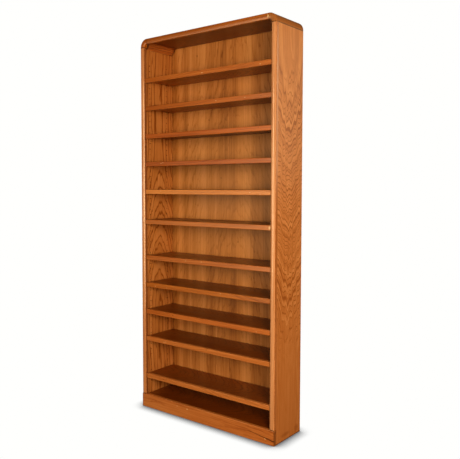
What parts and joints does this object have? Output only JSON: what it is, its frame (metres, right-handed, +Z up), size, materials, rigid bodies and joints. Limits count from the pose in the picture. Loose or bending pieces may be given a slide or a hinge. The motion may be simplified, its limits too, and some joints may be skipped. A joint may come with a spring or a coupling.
{
  "type": "bookcase with adjustable shelves",
  "caption": "Tall open-front oak bookcase with rounded top corners, a fixed middle shelf and pin-supported shelves that lift out and can be reset at other heights.",
  "frame": {"origin": "middle of the footprint, on the floor", "axes": "+Z up, +Y to the rear, open front faces -Y, +X to the right as seen from the front"},
  "size_m": [0.9144, 0.254, 2.1336],
  "materials": {
    "oak_veneer": "satin stained oak veneer, cathedral grain",
    "oak_solid": "satin stained solid oak, straight grain",
    "oak_moulding": "satin stained solid oak moulding",
    "oak_back": "satin stained thin oak veneer panel",
    "raw_wood": "unfinished sawn wood",
    "pin_brass": "satin brass",
    "brad_steel": "plain bright wire"
  },
  "bodies": {
    "case": {"side_left": "oak_veneer", "side_right": "oak_veneer", "stile_left": "oak_solid", "stile_right": "oak_solid", "top_panel": "oak_veneer", "top_lipping": "oak_solid", "corner_block_left": "oak_solid", "corner_block_right": "oak_solid", "corner_moulding_left": "oak_moulding", "corner_moulding_right": "oak_moulding", "corner_splines": "raw_wood", "back_panel": "oak_back", "back_brads": "brad_steel", "deck_panel": "oak_veneer", "toe_board": "oak_solid", "rear_rail": "raw_wood", "toe_glue_blocks": "raw_wood", "middle_shelf_panel": "oak_veneer", "middle_shelf_lipping": "oak_solid"},
    "shelf_01": {"shelf_01_panel": "oak_veneer", "shelf_01_lipping": "oak_solid"},
    "shelf_01_pins_left": {"shelf_01_pins_left": "pin_brass"},
    "shelf_01_pins_right": {"shelf_01_pins_right": "pin_brass"},
    "shelf_02": {"shelf_02_panel": "oak_veneer", "shelf_02_lipping": "oak_solid"},
    "shelf_02_pins_left": {"shelf_02_pins_left": "pin_brass"},
    "shelf_02_pins_right": {"shelf_02_pins_right": "pin_brass"},
    "shelf_03": {"shelf_03_panel": "oak_veneer", "shelf_03_lipping": "oak_solid"},
    "shelf_03_pins_left": {"shelf_03_pins_left": "pin_brass"},
    "shelf_03_pins_right": {"shelf_03_pins_right": "pin_brass"},
    "shelf_04": {"shelf_04_panel": "oak_veneer", "shelf_04_lipping": "oak_solid"},
    "shelf_04_pins_left": {"shelf_04_pins_left": "pin_brass"},
    "shelf_04_pins_right": {"shelf_04_pins_right": "pin_brass"},
    "shelf_05": {"shelf_05_panel": "oak_veneer", "shelf_05_lipping": "oak_solid"},
    "shelf_05_pins_left": {"shelf_05_pins_left": "pin_brass"},
    "shelf_05_pins_right": {"shelf_05_pins_right": "pin_brass"},
    "shelf_06": {"shelf_06_panel": "oak_veneer", "shelf_06_lipping": "oak_solid"},
    "shelf_06_pins_left": {"shelf_06_pins_left": "pin_brass"},
    "shelf_06_pins_right": {"shelf_06_pins_right": "pin_brass"},
    "shelf_07": {"shelf_07_panel": "oak_veneer", "shelf_07_lipping": "oak_solid"},
    "shelf_07_pins_left": {"shelf_07_pins_left": "pin_brass"},
    "shelf_07_pins_right": {"shelf_07_pins_right": "pin_brass"},
    "shelf_08": {"shelf_08_panel": "oak_veneer", "shelf_08_lipping": "oak_solid"},
    "shelf_08_pins_left": {"shelf_08_pins_left": "pin_brass"},
    "shelf_08_pins_right": {"shelf_08_pins_right": "pin_brass"},
    "shelf_09": {"shelf_09_panel": "oak_veneer", "shelf_09_lipping": "oak_solid"},
    "shelf_09_pins_left": {"shelf_09_pins_left": "pin_brass"},
    "shelf_09_pins_right": {"shelf_09_pins_right": "pin_brass"},
    "shelf_10": {"shelf_10_panel": "oak_veneer", "shelf_10_lipping": "oak_solid"},
    "shelf_10_pins_left": {"shelf_10_pins_left": "pin_brass"},
    "shelf_10_pins_right": {"shelf_10_pins_right": "pin_brass"}
  },
  "joints": [
    {"name": "shelf_01_slide", "type": "slide", "parent": "case", "child": "shelf_01", "axis": [0, -1, 0], "range_m": [0, 0.25]},
    {"name": "shelf_01_pins_left_pull", "type": "slide", "parent": "case", "child": "shelf_01_pins_left", "axis": [1, 0, 0], "range_m": [0, 0.014]},
    {"name": "shelf_01_pins_right_pull", "type": "slide", "parent": "case", "child": "shelf_01_pins_right", "axis": [-1, 0, 0], "range_m": [0, 0.014]},
    {"name": "shelf_02_slide", "type": "slide", "parent": "case", "child": "shelf_02", "axis": [0, -1, 0], "range_m": [0, 0.25]},
    {"name": "shelf_02_pins_left_pull", "type": "slide", "parent": "case", "child": "shelf_02_pins_left", "axis": [1, 0, 0], "range_m": [0, 0.014]},
    {"name": "shelf_02_pins_right_pull", "type": "slide", "parent": "case", "child": "shelf_02_pins_right", "axis": [-1, 0, 0], "range_m": [0, 0.014]},
    {"name": "shelf_03_slide", "type": "slide", "parent": "case", "child": "shelf_03", "axis": [0, -1, 0], "range_m": [0, 0.25]},
    {"name": "shelf_03_pins_left_pull", "type": "slide", "parent": "case", "child": "shelf_03_pins_left", "axis": [1, 0, 0], "range_m": [0, 0.014]},
    {"name": "shelf_03_pins_right_pull", "type": "slide", "parent": "case", "child": "shelf_03_pins_right", "axis": [-1, 0, 0], "range_m": [0, 0.014]},
    {"name": "shelf_04_slide", "type": "slide", "parent": "case", "child": "shelf_04", "axis": [0, -1, 0], "range_m": [0, 0.25]},
    {"name": "shelf_04_pins_left_pull", "type": "slide", "parent": "case", "child": "shelf_04_pins_left", "axis": [1, 0, 0], "range_m": [0, 0.014]},
    {"name": "shelf_04_pins_right_pull", "type": "slide", "parent": "case", "child": "shelf_04_pins_right", "axis": [-1, 0, 0], "range_m": [0, 0.014]},
    {"name": "shelf_05_slide", "type": "slide", "parent": "case", "child": "shelf_05", "axis": [0, -1, 0], "range_m": [0, 0.25]},
    {"name": "shelf_05_pins_left_pull", "type": "slide", "parent": "case", "child": "shelf_05_pins_left", "axis": [1, 0, 0], "range_m": [0, 0.014]},
    {"name": "shelf_05_pins_right_pull", "type": "slide", "parent": "case", "child": "shelf_05_pins_right", "axis": [-1, 0, 0], "range_m": [0, 0.014]},
    {"name": "shelf_06_slide", "type": "slide", "parent": "case", "child": "shelf_06", "axis": [0, -1, 0], "range_m": [0, 0.25]},
    {"name": "shelf_06_pins_left_pull", "type": "slide", "parent": "case", "child": "shelf_06_pins_left", "axis": [1, 0, 0], "range_m": [0, 0.014]},
    {"name": "shelf_06_pins_right_pull", "type": "slide", "parent": "case", "child": "shelf_06_pins_right", "axis": [-1, 0, 0], "range_m": [0, 0.014]},
    {"name": "shelf_07_slide", "type": "slide", "parent": "case", "child": "shelf_07", "axis": [0, -1, 0], "range_m": [0, 0.25]},
    {"name": "shelf_07_pins_left_pull", "type": "slide", "parent": "case", "child": "shelf_07_pins_left", "axis": [1, 0, 0], "range_m": [0, 0.014]},
    {"name": "shelf_07_pins_right_pull", "type": "slide", "parent": "case", "child": "shelf_07_pins_right", "axis": [-1, 0, 0], "range_m": [0, 0.014]},
    {"name": "shelf_08_slide", "type": "slide", "parent": "case", "child": "shelf_08", "axis": [0, -1, 0], "range_m": [0, 0.25]},
    {"name": "shelf_08_pins_left_pull", "type": "slide", "parent": "case", "child": "shelf_08_pins_left", "axis": [1, 0, 0], "range_m": [0, 0.014]},
    {"name": "shelf_08_pins_right_pull", "type": "slide", "parent": "case", "child": "shelf_08_pins_right", "axis": [-1, 0, 0], "range_m": [0, 0.014]},
    {"name": "shelf_09_slide", "type": "slide", "parent": "case", "child": "shelf_09", "axis": [0, -1, 0], "range_m": [0, 0.25]},
    {"name": "shelf_09_pins_left_pull", "type": "slide", "parent": "case", "child": "shelf_09_pins_left", "axis": [1, 0, 0], "range_m": [0, 0.014]},
    {"name": "shelf_09_pins_right_pull", "type": "slide", "parent": "case", "child": "shelf_09_pins_right", "axis": [-1, 0, 0], "range_m": [0, 0.014]},
    {"name": "shelf_10_slide", "type": "slide", "parent": "case", "child": "shelf_10", "axis": [0, -1, 0], "range_m": [0, 0.25]},
    {"name": "shelf_10_pins_left_pull", "type": "slide", "parent": "case", "child": "shelf_10_pins_left", "axis": [1, 0, 0], "range_m": [0, 0.014]},
    {"name": "shelf_10_pins_right_pull", "type": "slide", "parent": "case", "child": "shelf_10_pins_right", "axis": [-1, 0, 0], "range_m": [0, 0.014]}
  ],
  "couplings": [
    {"joint": "shelf_01_pins_right_pull", "follows": "shelf_01_pins_left_pull", "ratio": 1},
    {"joint": "shelf_02_pins_right_pull", "follows": "shelf_02_pins_left_pull", "ratio": 1},
    {"joint": "shelf_03_pins_right_pull", "follows": "shelf_03_pins_left_pull", "ratio": 1},
    {"joint": "shelf_04_pins_right_pull", "follows": "shelf_04_pins_left_pull", "ratio": 1},
    {"joint": "shelf_05_pins_right_pull", "follows": "shelf_05_pins_left_pull", "ratio": 1},
    {"joint": "shelf_06_pins_right_pull", "follows": "shelf_06_pins_left_pull", "ratio": 1},
    {"joint": "shelf_07_pins_right_pull", "follows": "shelf_07_pins_left_pull", "ratio": 1},
    {"joint": "shelf_08_pins_right_pull", "follows": "shelf_08_pins_left_pull", "ratio": 1},
    {"joint": "shelf_09_pins_right_pull", "follows": "shelf_09_pins_left_pull", "ratio": 1},
    {"joint": "shelf_10_pins_right_pull", "follows": "shelf_10_pins_left_pull", "ratio": 1}
  ]
}
